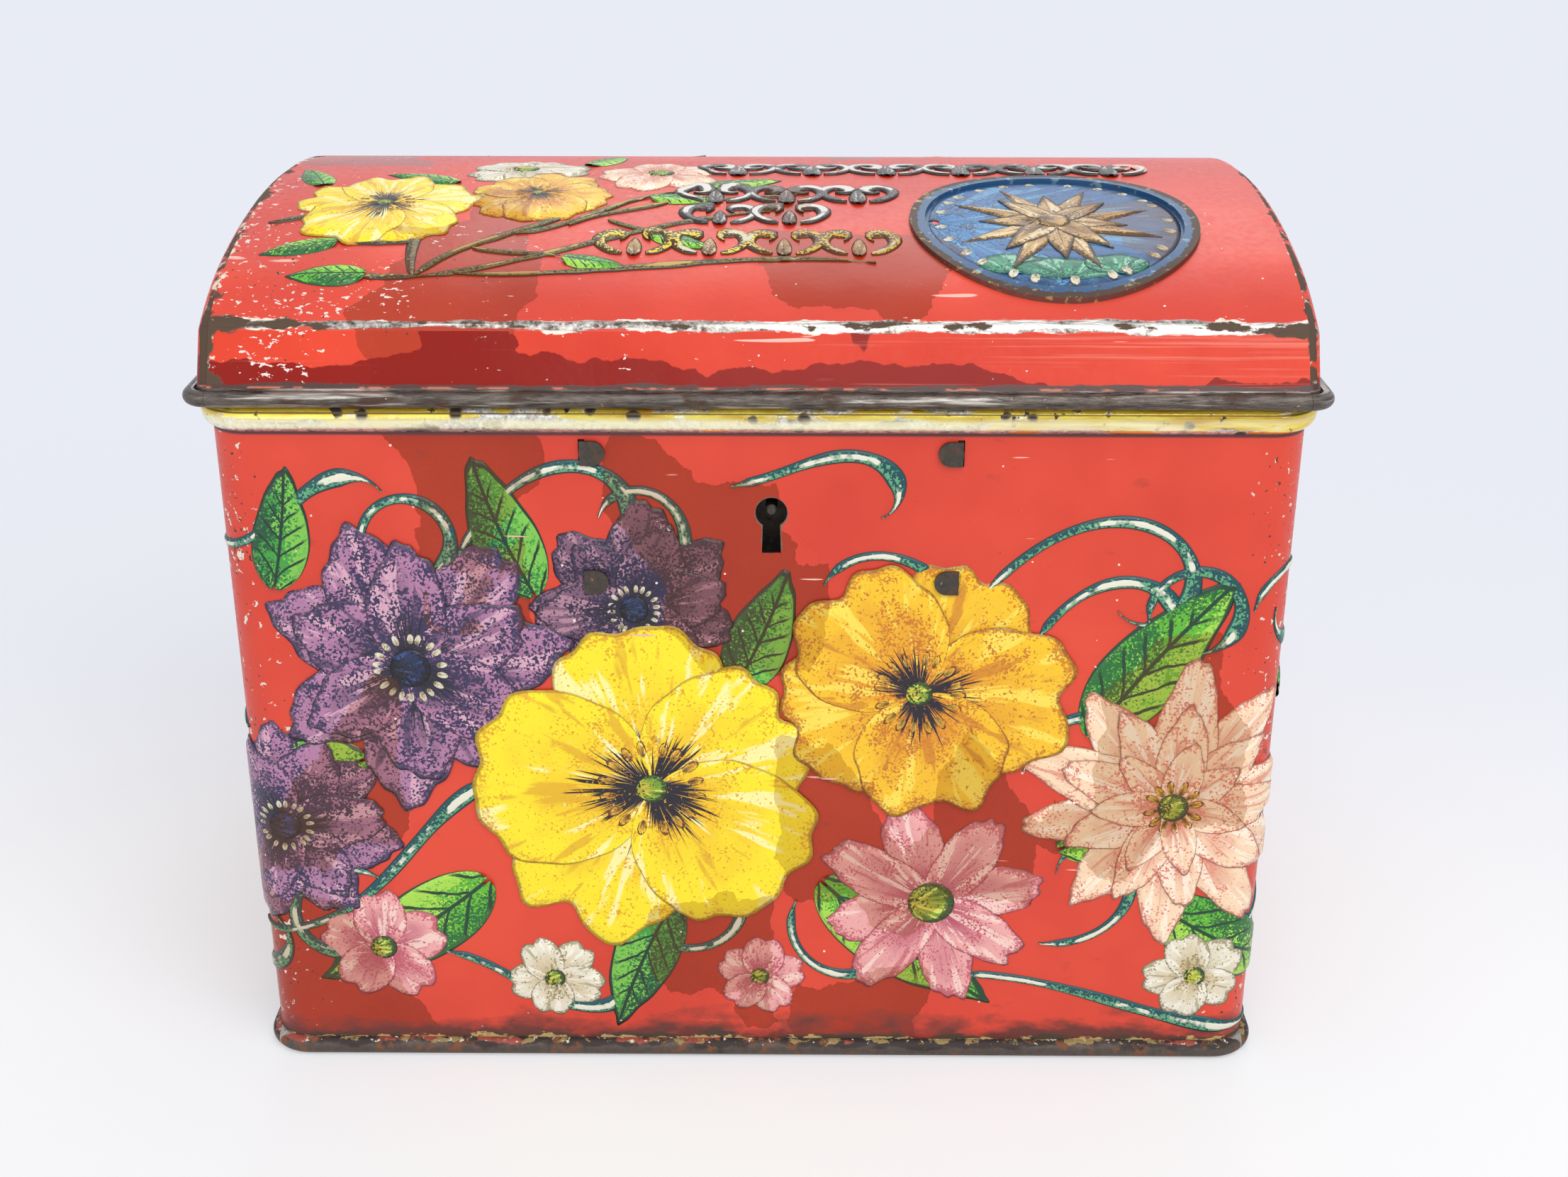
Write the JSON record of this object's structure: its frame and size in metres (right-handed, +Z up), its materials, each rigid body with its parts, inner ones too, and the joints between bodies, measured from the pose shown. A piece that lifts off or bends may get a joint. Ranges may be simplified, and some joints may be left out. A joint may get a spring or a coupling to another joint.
{
  "type": "recipe card box",
  "caption": "Rectangular tinplate chest with rounded corners, a domed lid on a wire hinge, a rolled bead below the rim and a small bolt lock behind a keyhole.",
  "frame": {"origin": "centre of the base, on the plane that the foot bead stands on", "axes": "+X to the right along the length, +Y from the keyhole front to the hinged back, +Z up"},
  "size_m": [0.1696, 0.1196, 0.1378],
  "materials": {
    "lithographed_tinplate": "semi-gloss printed enamel, worn",
    "bare_tinplate": "dull tinned steel with rust",
    "lock_steel": "dark oxidised sheet steel",
    "iron_wire": "dark iron wire"
  },
  "bodies": {
    "box": {"body_wall": "lithographed_tinplate", "bottom_plate": "bare_tinplate", "hinge_loop_left": "bare_tinplate", "hinge_loop_right": "bare_tinplate", "lock_case": "lock_steel", "key_post": "lock_steel", "bolt_guides": "lock_steel", "bolt_spring": "lock_steel"},
    "lid": {"lid_shell": "lithographed_tinplate", "lid_end_left": "lithographed_tinplate", "lid_end_right": "lithographed_tinplate", "lid_rim_wire": "iron_wire", "hasp_tongue": "bare_tinplate"},
    "bolt": {"lock_bolt": "lock_steel"}
  },
  "joints": [
    {"name": "lid_hinge", "type": "hinge", "parent": "box", "child": "lid", "pos_m": [0, 0.0586, 0.1158], "axis": [-1, 0, 0], "range_deg": [0, 105]},
    {"name": "bolt_slide", "type": "slide", "parent": "box", "child": "bolt", "axis": [1, 0, 0], "range_m": [0, 0.0045]}
  ]
}
